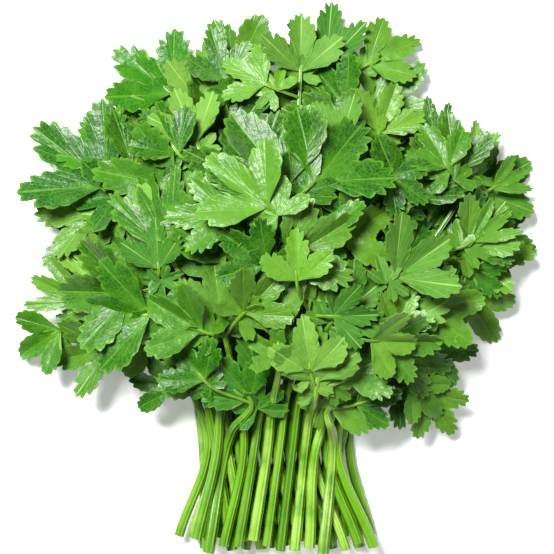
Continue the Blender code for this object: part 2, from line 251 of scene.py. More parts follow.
class Blade:
    def __init__(self, base, heading, share, length, shape, dice):
        self.length = length
        self.spread, self.notch, self.side = blade["shapes"][shape]
        self.tilt = [math.radians(dice.uniform(-bunch["unevenness"], bunch["unevenness"]))
                     for _ in range(2)]
        self.fold = dice.uniform(*blade["folds"])
        self.droop = dice.uniform(*blade["droops"])
        self.place(base, heading, share)

    def place(self, base, heading, share):
        self.base = base.copy()
        self.heading = heading
        level = towards(self.heading + math.pi / 2)
        middle = self.base + towards(self.heading) * self.length / 2
        pitch = pileSlope(middle, towards(self.heading), share) + self.tilt[0]
        roll = pileSlope(middle, level, share) + self.tilt[1]
        self.forward = towards(self.heading, pitch)
        self.right = level * math.cos(roll) + level.cross(self.forward) * math.sin(roll)
        self.up = self.right.cross(self.forward)

    def outline(self, across):
        away = abs(across)
        reach = 1 - (1 - self.side) * min(away / blade["lobePlace"], 1.0) ** 2
        reach *= 1 - self.notch * math.exp(
            -((away - blade["notchPlace"]) / blade["notchWidth"]) ** 2)
        return reach * (1 - (1 - blade["shoulder"]) * smooth(
            (away - blade["lobePlace"]) / (1 - blade["lobePlace"])))

    def point(self, across, along=1.0):
        angle = across * math.radians(self.spread)
        reach = self.outline(across) * self.length
        ahead, aside = reach * math.cos(angle), reach * math.sin(angle)
        height = self.fold * abs(aside) - self.droop * ahead * ahead / self.length
        return self.base + (self.forward * ahead + self.right * aside + self.up * height) * along

    def hull(self, margin):
        rim = [self.point(2 * rib / blade["ribs"] - 1) for rib in range(blade["ribs"] + 1)]
        half = self.up * (blade["thickness"] / 2 + margin)
        corners = [self.base, *rim]
        count = len(corners)
        points = [corner + half for corner in corners] + [corner - half for corner in corners]
        faces = [(0, rib, rib + 1) for rib in range(1, count - 1)]
        faces += [(count, count + rib + 1, count + rib) for rib in range(1, count - 1)]
        faces += [(rib, (rib + 1) % count, (rib + 1) % count + count, rib + count)
                  for rib in range(count)]
        return points, faces


class Branch:
    def __init__(self, start, leaf):
        self.start, self.blade = start, leaf

    def points(self):
        return [(self.start, stalk["radius"]), (self.blade.base, stalk["radius"]),
                (self.blade.point(0, blade["hold"]), stalk["radius"])]


class Sprig:
    def __init__(self, layer, column, columns, row, number, share):
        bearing, reach, heading, size, shape, pairs = row
        self.dice = random.Random(bunch["seed"] + number)
        self.share = share
        pitch = (2 * stem["radiusCut"] + bunch["stemGap"]) / bunch["cutSpread"]
        height = stem["radiusCut"] + layer * (2 * stem["radiusCut"] + bunch["layerGap"])
        self.girth = 1 if layer == 0 else self.dice.uniform(stem["thinnest"], 1)
        waist = Vector(((column - (columns - 1) / 2) * pitch, 0, height))
        length = bunch["cutLength"] + self.dice.uniform(0, bunch["cutUnevenness"])
        aside = waist.x * (bunch["cutSpread"] - 1) + bunch["layerSkew"][layer]
        aside *= length / bunch["cutLength"]
        self.cut = Vector((waist.x + aside, -length, height))
        self.heading = math.radians(heading)
        self.waist = waist
        self.top = towards(math.radians(bearing)) * reach * bunch["reach"]
        self.setRoute(0)
        self.size = size * blade["length"]
        self.blade = Blade(self.stations[-1], self.heading, share, self.size, shape, self.dice)
        self.shape = shape
        self.pairs = pairs
        self.branches = []

    def setRoute(self, swing):
        way = self.top - self.waist
        way.z = 0
        lean = math.atan2(way.x, way.y)
        turn = stem["sharpestTurn"]
        last = lean + min(max(self.heading - lean, -turn), turn)
        aside = towards(lean + math.pi / 2) * swing * way.length
        firstPull = towards(lean * stem["firstLean"]) * way.length * stem["firstPull"]
        lastPull = towards(last) * way.length * stem["lastPull"]
        route = (self.waist, self.waist + firstPull,
                 self.waist + way - lastPull + aside, self.waist + way)
        self.stations = [bezier(route, step / stem["steps"]) for step in range(stem["steps"] + 1)]
        for station in self.stations[1:]:
            settled = smooth(station.y / bunch["riseLength"])
            station.z += (pileHeight(station, self.share) - station.z) * settled

    def onStem(self, share):
        step = min(int(share * stem["steps"]), stem["steps"] - 1)
        return self.stations[step].lerp(self.stations[step + 1], share * stem["steps"] - step)

    def stemPoints(self):
        points = [(self.cut, stem["radiusCut"] * self.girth)]
        for step, station in enumerate(self.stations):
            share = step / stem["steps"]
            radius = stem["radiusWaist"] + (stem["radiusTop"] - stem["radiusWaist"]) * share
            points.append((station, radius * self.girth))
        points.append((self.blade.point(0, blade["hold"]), stem["radiusTip"]))
        return points

    def layStem(self, bed):
        for shift in bed.shifts(search["highestStemShift"]):
            for swing, early in itertools.product(search["swings"], search["earlyRises"]):
                self.setRoute(swing)
                for step, station in enumerate(self.stations):
                    station.z += shift * smooth(early * step / stem["steps"])
                for turn in search["topTurns"]:
                    heading = self.heading + math.radians(turn)
                    self.blade.place(self.stations[-1], heading, self.share)
                    line = self.stemPoints()
                    if bed.isFree(self.blade.hull(search["clearance"])) and \
                            bed.isFree(prism(line, search["clearance"])):
                        self.own = [bed.add(prism(line, 0)), bed.add(self.blade.hull(0))]
                        return

    def growBranches(self, bed):
        for pair in range(self.pairs):
            for side in (-1, 1):
                share = stalk["firstPair"] - stalk["pairStep"] * pair + self.dice.uniform(
                    -stalk["pairJitter"], stalk["pairJitter"])
                self.growBranch(bed, share, side)

    def growBranch(self, bed, share, side):
        start = self.onStem(share)
        ahead = self.onStem(share + stalk["lookAhead"]) - start
        angle = math.radians(self.dice.uniform(*stalk["angles"]))
        heading = math.atan2(ahead.x, ahead.y) + side * angle
        reach = stalk["length"] * self.dice.uniform(*stalk["lengthRange"])
        turn = side * math.radians(self.dice.uniform(*blade["sideTurns"]))
        length = self.size * self.dice.uniform(*blade["sideSizes"])
        shape = self.dice.choice((self.shape, "lobed", "fan"))
        leaf = Blade(start, heading - turn, self.share, length, shape, self.dice)
        branch = Branch(start, leaf)
        for shift in bed.shifts():
            for swing, short in itertools.product(search["stalkSwings"], search["shorter"]):
                way = heading + math.radians(swing)
                base = start + towards(way) * reach * short
                base.z += pileHeight(base, self.share) - pileHeight(start, self.share) + shift
                leaf.place(base, way - turn, self.share)
                line = branch.points()
                isFree = bed.isFree(prism(line, search["clearance"]), self.own)
                if isFree and bed.isFree(leaf.hull(search["clearance"]), self.own[:1]):
                    self.branches.append(branch)
                    self.own += [bed.add(prism(line, 0)), bed.add(leaf.hull(0))]
                    return


class Bed:
    def __init__(self):
        self.trees = []

    def shifts(self, highest=search["largestShift"]):
        yield 0
        for count in range(1, int(highest / search["shift"]) + 1):
            yield count * search["shift"]
            if count * search["shift"] < search["largestShift"]:
                yield -count * search["shift"]

    def isFree(self, hull, own=()):
        points, faces = hull
        if min(point.z for point in points) < -search["clearance"] * 2:
            return False
        tree = BVHTree.FromPolygons(points, faces)
        return not any(tree.overlap(other) for other in self.trees if other not in own)

    def add(self, hull):
        tree = BVHTree.FromPolygons(*hull)
        self.trees.append(tree)
        return tree


def prism(points, margin):
    corners, faces = [], []
    for index, (place, radius) in enumerate(points):
        before, after = points[max(index - 1, 0)][0], points[min(index + 1, len(points) - 1)][0]
        aside = (after - before).cross(Vector((0, 0, 1))).normalized()
        upward = aside.cross(after - before).normalized()
        for side in range(search["sides"]):
            angle = 2 * math.pi * side / search["sides"]
            way = aside * math.cos(angle) + upward * math.sin(angle)
            corners.append(place + way * (radius + margin))
    for ring in range(len(points) - 1):
        for side in range(search["sides"]):
            first = ring * search["sides"] + side
            second = ring * search["sides"] + (side + 1) % search["sides"]
            faces.append((first, second, second + search["sides"], first + search["sides"]))
    return corners, faces


def layBunch():
    bed = Bed()
    sprigs = []
    total = sum(len(layer) for layer in layers)
    for level, layer in enumerate(layers):
        columns = sorted(layer)
        for row in sorted(layer, key=lambda row: -row[1]):
            share = len(sprigs) / (total - 1)
            sprig = Sprig(level, columns.index(row), len(columns), row, len(sprigs), share)
            sprig.layStem(bed)
            sprigs.append(sprig)
    for sprig in sprigs:
        sprig.growBranches(bed)
    return sprigs


def ownBox(sprig):  # what the sprig's solid should span
    points = [place for place, radius in sprig.stemPoints()]
    for leaf in [sprig.blade] + [branch.blade for branch in sprig.branches]:
        points += [leaf.point(2 * rib / blade["ribs"] - 1) for rib in range(blade["ribs"] + 1)]
    lows = [min(point[axis] for point in points) for axis in range(2)]
    highs = [max(point[axis] for point in points) for axis in range(2)]
    return [(low + high) / 2 for low, high in zip(lows, highs)]


sprigs = layBunch()
offsets = []
for index, sprig in enumerate(sprigs):
    low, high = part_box(f"sprig_{index + 1:02d}")
    middle = ownBox(sprig)
    offsets.append([(low[axis] + high[axis]) / 2 - middle[axis] for axis in range(2)])
offsets = np.array(offsets)
place = np.array([*np.median(offsets, axis=0), 0.0])
print("bunch laid, placed by", place.round(4), "worst", np.abs(offsets - place[:2]).max().round(4))
print("blades", sum(1 + len(sprig.branches) for sprig in sprigs))

nodesApart = 220


def selectOnly(*things):
    if bpy.context.object and bpy.context.object.mode != "OBJECT":
        bpy.ops.object.mode_set(mode="OBJECT")
    bpy.ops.object.select_all(action="DESELECT")
    for thing in things:
        thing.select_set(True)
    bpy.context.view_layer.objects.active = things[0]


def editMesh(kind):  # into edit mode with what is selected in code and no more
    bpy.context.tool_settings.mesh_select_mode = (False, kind == "EDGE", kind == "FACE")
    bpy.ops.object.mode_set(mode="EDIT")


def deselectMesh(mesh):
    for group in (mesh.vertices, mesh.edges, mesh.polygons):
        group.foreach_set("select", np.zeros(len(group), bool))


def verticesOf(thing):
    flat = np.empty(len(thing.data.vertices) * 3)
    thing.data.vertices.foreach_get("co", flat)
    return flat.reshape(-1, 3)


def copyOf(master, name, points):
    thing = master.copy()
    thing.data = master.data.copy()
    thing.name = name
    bpy.context.scene.collection.objects.link(thing)
    thing.data.vertices.foreach_set("co", np.asarray(points, float).ravel())
    thing.data.update()
    return thing


def writeTone(thing, values):  # how light (for leaves partly painted shade of the pile), how young and how cool one leaf or stalk is
    layer = thing.data.attributes.new("tone", "FLOAT_VECTOR", "POINT")
    layer.data.foreach_set("vector", np.tile(values, len(thing.data.vertices)))


def joined(things, name):
    selectOnly(*things)
    if len(things) > 1:
        bpy.ops.object.join()
    thing = bpy.context.view_layer.objects.active
    thing.name = name
    thing.data.name = name
    return thing


class Nodes:  # places nodes in a row and links them
    def __init__(self, name):
        self.material = bpy.data.materials.new(name)
        self.material.use_nodes = True
        self.tree = self.material.node_tree
        self.shader = self.tree.nodes["Principled BSDF"]
        self.output = self.tree.nodes["Material Output"]
        self.count = 0

    def add(self, kind, **settings):
        node = self.tree.nodes.new(kind)
        self.count += 1
        node.location = (-nodesApart * self.count, 300 * (self.count % 3))
        for key, value in settings.items():
            setattr(node, key, value)
        return node

    def link(self, source, target):
        if isinstance(source, (int, float, tuple)):
            target.default_value = source
        else:
            self.tree.links.new(source, target)

    def math(self, operation, first, second=0.0, third=0.0, clamp=False):
        node = self.add("ShaderNodeMath", operation=operation, use_clamp=clamp)
        for source, target in zip((first, second, third), node.inputs):
            self.link(source, target)
        return node.outputs[0]

    def stripes(self, value, count):  # distance to the middle of the nearest of count stripes
        part = self.math("FRACT", self.math("MULTIPLY", value, count))
        return self.math("ABSOLUTE", self.math("SUBTRACT", part, 0.5))

    def vary(self, value, pattern, amount, clamp=False):
        return self.math("MULTIPLY_ADD", self.math("SUBTRACT", pattern, 0.5), amount, value, clamp)

    def mix(self, factor, first, second):
        node = self.add("ShaderNodeMix", data_type="RGBA", blend_type="MIX")
        self.link(factor, node.inputs[0])
        self.link(first, node.inputs[6])
        self.link(second, node.inputs[7])
        return node.outputs[2]

    def mapRange(self, value, fromMin, fromMax, toMin=0.0, toMax=1.0):
        node = self.add("ShaderNodeMapRange", interpolation_type="SMOOTHSTEP")
        for source, target in zip((value, fromMin, fromMax, toMin, toMax), node.inputs):
            self.link(source, target)
        return node.outputs[0]

    def noise(self, coordinates, scale, detail, roughness):
        node = self.add("ShaderNodeTexNoise")
        self.link(coordinates, node.inputs["Vector"])
        node.inputs["Scale"].default_value = scale
        node.inputs["Detail"].default_value = detail
        node.inputs["Roughness"].default_value = roughness
        return node.outputs[0]

    def uv(self):
        node = self.add("ShaderNodeUVMap", uv_map="UVMap")
        split = self.add("ShaderNodeSeparateXYZ")
        self.link(node.outputs[0], split.inputs[0])
        return split.outputs[0], split.outputs[1]

    def tone(self):
        node = self.add("ShaderNodeAttribute", attribute_name="tone")
        split = self.add("ShaderNodeSeparateXYZ")
        self.link(node.outputs["Vector"], split.inputs[0])
        return split.outputs

    def objectSpace(self):
        return self.add("ShaderNodeTexCoord").outputs["Object"]

    def bump(self, height, strength, distance):
        node = self.add("ShaderNodeBump")
        node.inputs["Strength"].default_value = strength
        node.inputs["Distance"].default_value = distance
        self.link(height, node.inputs["Height"])
        self.link(node.outputs[0], self.shader.inputs["Normal"])


leafFinish = {
    "deep": (0.002, 0.030, 0.0005, 1),     # older, darker leaf, and painted shade for sprigs deep in the pile
    "fresh": (0.024, 0.178, 0.002, 1),
    "lime": (0.230, 0.470, 0.040, 1),      # young leaf
    "cool": (0.018, 0.132, 0.010, 1),      # bluer, full-grown leaf
    "vein": (0.135, 0.360, 0.020, 1),
    "netTone": (0.070, 0.280, 0.010, 1),
    "underDeep": (0.036, 0.160, 0.010, 1),
    "underPale": (0.205, 0.420, 0.055, 1),
    "underVein": (0.320, 0.540, 0.130, 1),
    "coolShare": 0.6,
    "sideVeins": 27.0,                     # one to each tooth
    "sideVeinWidth": (0.30, 0.11),         # how much wider at the stalk, and width at the rim
    "sideVeinShow": 0.24,
    "lobes": 3.0,
    "middleVeinWidth": (0.10, 0.014),
    "veinShow": 0.55,
    "underVeinShow": 0.75,
    "netScale": 620.0,                     # fine veins to the metre
    "netWidth": 0.16,
    "net": 0.40,
    "cloudScale": 160.0,                   # broad patches and fine specks of tone
    "cloudYoung": 0.5,
    "cloudOld": 0.6,
    "speckScale": 1400.0,
    "speckOld": 0.35,
    "stalkPale": (0.45, 1.05, 0.6),        # from and to, as distance from the rim, and how pale
    # painted highlight along the thin rim: where it starts along the blade, and how light
    "paintedRimHighlight": (0.93, 0.5),
    "puckerScale": 300.0,
    "pucker": 2.4,                         # height between the fine veins, over a vein's
    "speckHeight": 0.3,
    "bump": (0.42, 0.0005),                # strength and depth
    "roughness": 0.35,
    "underRoughness": 0.56,
    "specular": 0.36,
    "underSpecular": 0.16,
    "glow": 0.13,                          # light that comes through a blade
    "glowLime": 0.30,
}


def leafMaterial(name, under):
    look = leafFinish
    n = Nodes(name)
    u, v = n.uv()
    tone, youth, coolness = n.tone()
    rest = n.math("SUBTRACT", 1.0, v)
    # side veins end in the teeth and meet the middle vein towards the base
    side = n.stripes(u, look["sideVeins"])
    wider, width = look["sideVeinWidth"]
    sideWidth = n.math("MULTIPLY_ADD", n.math("MULTIPLY", rest, rest), wider, width)
    sideVein = n.mapRange(side, sideWidth, 0.0)
    middle = n.stripes(u, look["lobes"])
    wider, width = look["middleVeinWidth"]
    middleWidth = n.math("MULTIPLY_ADD", rest, wider, width)
    middleVein = n.mapRange(middle, middleWidth, 0.0)
    vein = n.math("MAXIMUM", n.math("MULTIPLY", sideVein, look["sideVeinShow"]), middleVein)
    where = n.objectSpace()
    cloud = n.noise(where, look["cloudScale"], 4.0, 0.6)
    speck = n.noise(where, look["speckScale"], 3.0, 0.6)
    pucker = n.noise(where, look["puckerScale"], 2.0, 0.5)
    net = n.add("ShaderNodeTexVoronoi", feature="DISTANCE_TO_EDGE")
    n.link(where, net.inputs["Vector"])
    net.inputs["Scale"].default_value = look["netScale"]
    mesh = n.mapRange(net.outputs["Distance"], look["netWidth"], 0.0)
    young = n.vary(youth, cloud, look["cloudYoung"], clamp=True)
    # the leaf's tone with random specks and patches; darker for sprigs low in the pile, which is
    # painted shade
    toneWithPileShade = n.vary(tone, speck, look["speckOld"])
    toneWithPileShade = n.vary(toneWithPileShade, cloud, look["cloudOld"], clamp=True)
    if under:
        colour = n.mix(toneWithPileShade, look["underDeep"], look["underPale"])
        colour = n.mix(n.math("MULTIPLY", vein, look["underVeinShow"]), colour, look["underVein"])
    else:
        colour = n.mix(toneWithPileShade, look["deep"], look["fresh"])
        colour = n.mix(n.math("MULTIPLY", coolness, look["coolShare"]), colour, look["cool"])
        colour = n.mix(young, colour, look["lime"])
        colour = n.mix(n.math("MULTIPLY", mesh, look["net"]), colour, look["netTone"])
        start, end, most = look["stalkPale"]
        pale = n.mapRange(rest, start, end, 0.0, most)      # paler where the stalk runs in
        start, most = look["paintedRimHighlight"]
        edge = n.mapRange(v, start, 1.0, 0.0, most)         # and a painted highlight along the thin rim
        # vein colour over the veins, the pale base and the painted rim highlight
        veinBaseAndRimHighlight = n.math("MULTIPLY", vein, look["veinShow"])
        veinBaseAndRimHighlight = n.math("MAXIMUM", veinBaseAndRimHighlight, n.math("MAXIMUM", pale, edge))
        colour = n.mix(veinBaseAndRimHighlight, colour, look["vein"])
    n.link(colour, n.shader.inputs["Base Color"])
    n.shader.inputs["Roughness"].default_value = look["underRoughness" if under else "roughness"]
    n.shader.inputs["Specular IOR Level"].default_value = look[
        "underSpecular" if under else "specular"]
    # veins lie in the top of a blade and stand out below it
    quilt = n.math("MULTIPLY", vein, 1.0 if under else -1.0)
    quilt = n.math("MULTIPLY_ADD", speck, look["speckHeight"], quilt)
    n.bump(n.math("MULTIPLY_ADD", pucker, look["pucker"], quilt), *look["bump"])
    glow = n.add("ShaderNodeBsdfTranslucent")
    n.link(n.mix(look["glowLime"], colour, look["lime"]), glow.inputs["Color"])
    both = n.add("ShaderNodeMixShader")
    both.inputs[0].default_value = look["glow"]
    n.link(n.shader.outputs[0], both.inputs[1])
    n.link(glow.outputs[0], both.inputs[2])
    n.link(both.outputs[0], n.output.inputs["Surface"])
    return n.material


leafTop = leafMaterial("parsleyLeafTop", False)
leafUnder = leafMaterial("parsleyLeafUnder", True)

leafShape = {
    "teeth": 9,               # on each of the three lobes
    "cellsPerTooth": 4,
    "rows": 10,
    "smallTeeth": 5,          # and on the leaflets that sit below a blade
    "smallCells": 2,
    "smallRows": 4,
    "smallSizes": (0.36, 0.56),
    "smallTurns": (48, 84),
    "smallPlace": (0.0015, 0.0060),
    "smallSink": 0.0011,
    "smallFrom": 0.021,       # shortest blade that has leaflets below it
    "seed": 7000,
    "start": 0.03,            # where the blade leaves its stalk
    "thickness": 0.00034,
    "head": 0.62,             # middle of a lobe's rounded head along its vein
    "headWidth": (0.11, 0.24),
    "headFill": 0.90,         # width of the heads over the room between two veins
    "headTurn": (75, 60),     # how far teeth go round a head, and further past deep notches
    "veinPlace": 0.66,
    "veinJitter": 0.04,
    "veinSplit": (0.30, 0.35),  # where side veins leave the middle one, at a lobe's side and tip
    "reachJitter": (0.93, 1.03),
    "toothDepth": (0.09, 0.22),
    "toothJitter": (0.5, 1.4),
    "toothPower": 0.75,
    "bound": 0.96,            # outer sides of the outer lobes, over the spread
    "outerNotch": 0.75,
    "notchJitter": (0.85, 1.08),
    "partDepth": 2.0,         # the cuts that part a lobe in three, over a tooth's
    "deepestCut": 0.46,
    "notchMore": (0.16, 0.42),
    "deepestNotch": 0.86,
    "baseReach": (0.16, 0.30),
    "foldRound": 0.05,
    "droopPowers": (0.6, 1.4),
    "pleat": (0.05, 0.24),
    "pleatRound": 0.0012,
    "pleatLevel": 0.12,
    "foldMore": (-0.10, 0.26),
    "lift": 0.10,
    "bulge": (-0.01, 0.045),
    "bulgeWidth": 0.24,
    "ruffle": 0.032,
    "waves": (3, 6),
    "curl": (-0.17, 0.13),
    "turnedOver": 0.18,       # share of blades that show their underside
    "largestTurned": 0.036,
    "smoothAngle": 60,
    "tone": (0.15, 0.16, 0.34),     # lowest sprig's, what the highest has more (lower sprigs darker as painted shade of the pile), and spread
    "young": (1.7, 1.35, 1.10, 0.05),
    "coolPower": 1.5,
}


def makeMasterLeaf(name, lobeCells, rows):
    bpy.ops.object.select_all(action="DESELECT")
    bpy.ops.mesh.primitive_grid_add(x_subdivisions=3, y_subdivisions=1, size=2, location=(0, 0, 0))
    leaf = bpy.context.object
    leaf.name = name
    # three lobes, each cut into its teeth, and rows from the stalk to the rim
    bpy.ops.object.mode_set(mode="OBJECT")
    mesh = leaf.data
    deselectMesh(mesh)
    for edge in mesh.edges:
        ends = [mesh.vertices[index].co for index in edge.vertices]
        edge.select = abs(ends[0].y - ends[1].y) < 0.1
    editMesh("EDGE")
    bpy.ops.mesh.subdivide(number_cuts=lobeCells - 1)
    bpy.ops.object.mode_set(mode="OBJECT")
    deselectMesh(mesh)
    for edge in mesh.edges:
        ends = [mesh.vertices[index].co for index in edge.vertices]
        edge.select = abs(ends[0].x - ends[1].x) < 0.0001
    editMesh("EDGE")
    bpy.ops.mesh.subdivide(number_cuts=rows - 1)
    bpy.ops.object.mode_set(mode="OBJECT")
    mesh.materials.append(leafTop)
    mesh.materials.append(leafUnder)
    return leaf


masterLeaf = makeMasterLeaf("masterLeaf", leafShape["teeth"] * leafShape["cellsPerTooth"],
                            leafShape["rows"])
masterLeaflet = makeMasterLeaf("masterLeaflet", leafShape["smallTeeth"] * leafShape["smallCells"],
                               leafShape["smallRows"])
print("master leaf has", len(masterLeaf.data.vertices), "vertices, leaflet",
      len(masterLeaflet.data.vertices))


def alongWay(angle):
    return np.stack([np.cos(angle), np.sin(angle)], axis=-1)


def leafOutline(leaf, dice, across, teeth):
    # where each column of the master leaf ends, in blade lengths ahead and aside, and its lobe
    spread = math.radians(leaf.spread)
    lobe = np.clip(np.floor((across + 1) * 1.5), 0, 2).astype(int)
    local = np.clip((across - (lobe - 1) * 2 / 3) * 3, -1, 1)
    jitter, bound = leafShape["veinJitter"], leafShape["bound"]
    veins = np.array([(side * leafShape["veinPlace"] + dice.uniform(-jitter, jitter)) * spread
                      for side in (-1, 0, 1)])
    reach = np.array([leaf.side, 1, leaf.side]) * [dice.uniform(*leafShape["reachJitter"])
                                                   for _ in range(3)]
    deep = min(leaf.notch + dice.uniform(*leafShape["notchMore"]), leafShape["deepestNotch"])
    inner = [deep * dice.uniform(*leafShape["notchJitter"]) for _ in range(2)]
    depths = np.array([leafShape["outerNotch"], *inner, leafShape["outerNotch"]])
    bounds = np.array([-bound, -1 / 3, 1 / 3, bound]) * spread
    ends = (1 - depths) * (1 + leaf.side) / 2
    ends[0], ends[3] = (dice.uniform(*leafShape["baseReach"]) for _ in range(2))
    nearer = np.where(local < 0, lobe, lobe + 1)
    notch = alongWay(bounds[nearer]) * ends[nearer][:, None]
    # round the lobe's head, tooth by tooth
    head, (narrow, wide) = leafShape["head"], leafShape["headWidth"]
    width = min(max(head * math.sin(veins[2] / 2) * leafShape["headFill"], narrow), wide)
    turn, more = leafShape["headTurn"]
    last = 1 - 1 / teeth
    aroundHead = np.clip(local / last, -1, 1) * np.radians(turn + more * depths[nearer])
    tooth = (local + 1) / 2 * teeth
    nearest = np.round(tooth).astype(int)
    deepness = dice.uniform(*leafShape["toothDepth"])
    cuts = np.array([[min(deepness * dice.uniform(*leafShape["toothJitter"])
                          * (leafShape["partDepth"] if cut % 3 == 0 else 1),
                          leafShape["deepestCut"])
                      for cut in range(teeth + 1)] for _ in range(3)])
    fromCut = np.clip(np.abs(tooth - nearest) * 2, 0, 1)
    cutting = 1 - cuts[lobe, nearest] * (1 - fromCut ** leafShape["toothPower"])
    vein = veins[lobe]
    forwards = head * reach[lobe] + (1 - head) * reach[lobe] * np.cos(aroundHead) * cutting
    sidewards = width * np.sin(aroundHead) * cutting
    rim = alongWay(vein) * forwards[:, None] + alongWay(vein + math.pi / 2) * sidewards[:, None]
    edge = np.clip((np.abs(local) - last) * teeth, 0, 1)[:, None]
    rim = rim * (1 - edge) + notch * edge
    # side veins leave the middle one further out the nearer they end to its tip
    length = np.linalg.norm(rim, axis=1)
    low, more = leafShape["veinSplit"]
    middle = alongWay(vein) * (length * (low + more * (1 - np.abs(local))))[:, None]
    outer = (np.abs(local) ** 3)[:, None]
    return rim, middle * (1 - outer) + notch * 0.5 * outer, lobe, local, vein


def leafPoints(master, teeth, leaf, dice, flip):
    corners = verticesOf(master)
    across = corners[:, 0] * (-1 if flip else 1)
    step = (corners[:, 1] + 1) / 2
    along = (leafShape["start"] + (1 - leafShape["start"]) * step)[:, None]
    rim, bend, lobe, local, vein = leafOutline(leaf, dice, across, teeth)
    flat = 2 * along * (1 - along) * bend + along ** 2 * rim
    ahead, aside = flat[:, 0], flat[:, 1]                    # in blade lengths
    far = np.hypot(ahead, aside)
    angle = np.arctan2(aside, ahead)
    # height: the solid's fold and droop, pleats at the middle veins, lifted lobes, a wavy rim
    away = np.minimum(np.abs(angle) / math.radians(leaf.spread), 1)
    envelope = 1 - (1 - leaf.side) * np.minimum(away / blade["lobePlace"], 1) ** 2
    fold = leaf.fold + dice.uniform(*leafShape["foldMore"])
    soft = leafShape["foldRound"]
    height = fold * (np.sqrt(aside ** 2 + soft ** 2) - soft)
    whole = np.maximum(envelope * np.cos(angle), 0)
    wholePower, aheadPower = leafShape["droopPowers"]
    height -= leaf.droop * whole ** wholePower * np.maximum(ahead, 0) ** aheadPower
    off = np.sqrt(np.sin(angle - vein) ** 2 + leafShape["pleatRound"]) * far
    height += dice.uniform(*leafShape["pleat"]) * (off - leafShape["pleatLevel"] * far)
    swell = np.sin(np.minimum(off / leafShape["bulgeWidth"], 1) * math.pi)
    height += dice.uniform(*leafShape["bulge"]) * swell * far
    lifts = np.array([dice.uniform(-1, 1) * leafShape["lift"] for _ in range(3)])
    height += lifts[lobe] * far ** 1.5 * (1 - local ** 2)
    phase, waves = dice.uniform(0, 2 * math.pi), dice.uniform(*leafShape["waves"]) * math.pi
    height += leafShape["ruffle"] * far ** 3 * np.sin(phase + waves * across)
    height += dice.uniform(*leafShape["curl"]) * far ** 3
    forward, right, up, base = (np.array(vector) for vector in
                                (leaf.forward, leaf.right, leaf.up, leaf.base))
    points = base + place + leaf.length * (ahead[:, None] * forward + aside[:, None] * right
                                           + height[:, None] * up)
    # none sinks below the floor
    points[:, 2] = np.maximum(points[:, 2], 2 * leafShape["thickness"])
    return points


def leafTone(sprig, leaf, dice):  # the lower sprigs are darker, painted shade deep in the pile; the small blades are younger
    low, more, spread = leafShape["tone"]
    tone = min(max(dice.gauss(low + more * sprig.share, spread), 0.0), 1.0)
    grown = leaf.length / blade["length"]
    power, slope, last, least = leafShape["young"]
    young = dice.random() ** power * min(max(slope * (last - grown), least), 1.0)
    return tone, young, dice.random() ** leafShape["coolPower"]


def leafletOf(leaf, dice, side):  # one of the pair of small leaflets just below a blade
    small = copy.copy(leaf)
    small.length = leaf.length * dice.uniform(*leafShape["smallSizes"])
    small.spread, small.notch, small.side = blade["shapes"][dice.choice(("lobed", "trefoil"))]
    small.fold = dice.uniform(*blade["folds"])
    turn = side * math.radians(dice.uniform(*leafShape["smallTurns"]))
    small.forward = leaf.forward * math.cos(turn) + leaf.right * math.sin(turn)
    small.right = leaf.right * math.cos(turn) - leaf.forward * math.sin(turn)
    small.base = leaf.base - leaf.forward * dice.uniform(*leafShape["smallPlace"]) \
        - leaf.up * leafShape["smallSink"]
    return small


def makeLeaves(number, sprig):
    dice = random.Random(leafShape["seed"] + number)
    things = []
    for leaf in [sprig.blade] + [branch.blade for branch in sprig.branches]:
        flip = dice.random() < leafShape["turnedOver"]
        flip = flip and leaf.length < leafShape["largestTurned"]
        tone = leafTone(sprig, leaf, dice)
        points = leafPoints(masterLeaf, leafShape["teeth"], leaf, dice, flip)
        things.append(copyOf(masterLeaf, f"blade{number}", points))
        writeTone(things[-1], tone)
        if leaf.length < leafShape["smallFrom"]:
            continue
        for side in (-1, 1):
            points = leafPoints(masterLeaflet, leafShape["smallTeeth"],
                                leafletOf(leaf, dice, side), dice, flip)
            things.append(copyOf(masterLeaflet, f"leaflet{number}", points))
            writeTone(things[-1], tone)
    leaves = joined(things, f"leaves_{number:02d}")
    thickness = leaves.modifiers.new("thickness", "SOLIDIFY")
    thickness.thickness = leafShape["thickness"]
    thickness.offset = -1
    thickness.material_offset = 1
    bpy.ops.object.modifier_apply(modifier=thickness.name)
    bpy.ops.object.shade_smooth_by_angle(angle=math.radians(leafShape["smoothAngle"]))
    return leaves


stalkFinish = {
    "shade": (0.030, 0.135, 0.003, 1),
    "light": (0.112, 0.310, 0.003, 1),
    "rib": (0.205, 0.455, 0.008, 1),
    "pale": (0.440, 0.690, 0.110, 1),
    "cut": (0.380, 0.540, 0.160, 1),
    "cutCore": (0.560, 0.680, 0.300, 1),
    "ribs": 7.0,
    "ribEdges": (0.42, 0.05),
    "ribShow": 0.38,
    "cloudScale": 90.0,
    "cloudLight": 0.9,
    "cloudPale": (0.25, 0.65),
    "fibreScale": 1500.0,
    "fibreStretch": 0.12,
    "fibreShade": (0.35, 0.75, 0.25),
    "fibreHeight": 0.35,
    "bump": (0.5, 0.0005),
    "roughness": 0.30,
    "soft": 0.12,                          # light that spreads inside a stem
    "softRadius": (0.002, 0.003, 0.001),
    "cellScale": 2600.0,                   # pith cells of a cut end, to the metre
    "cellEdges": (0.1, 0.6, 0.3),
    "pithScale": 700.0,
    "pithEdges": (0.35, 0.7),
    "cutRoughness": 0.5,
    "cutBump": (0.4, 0.0002),
}


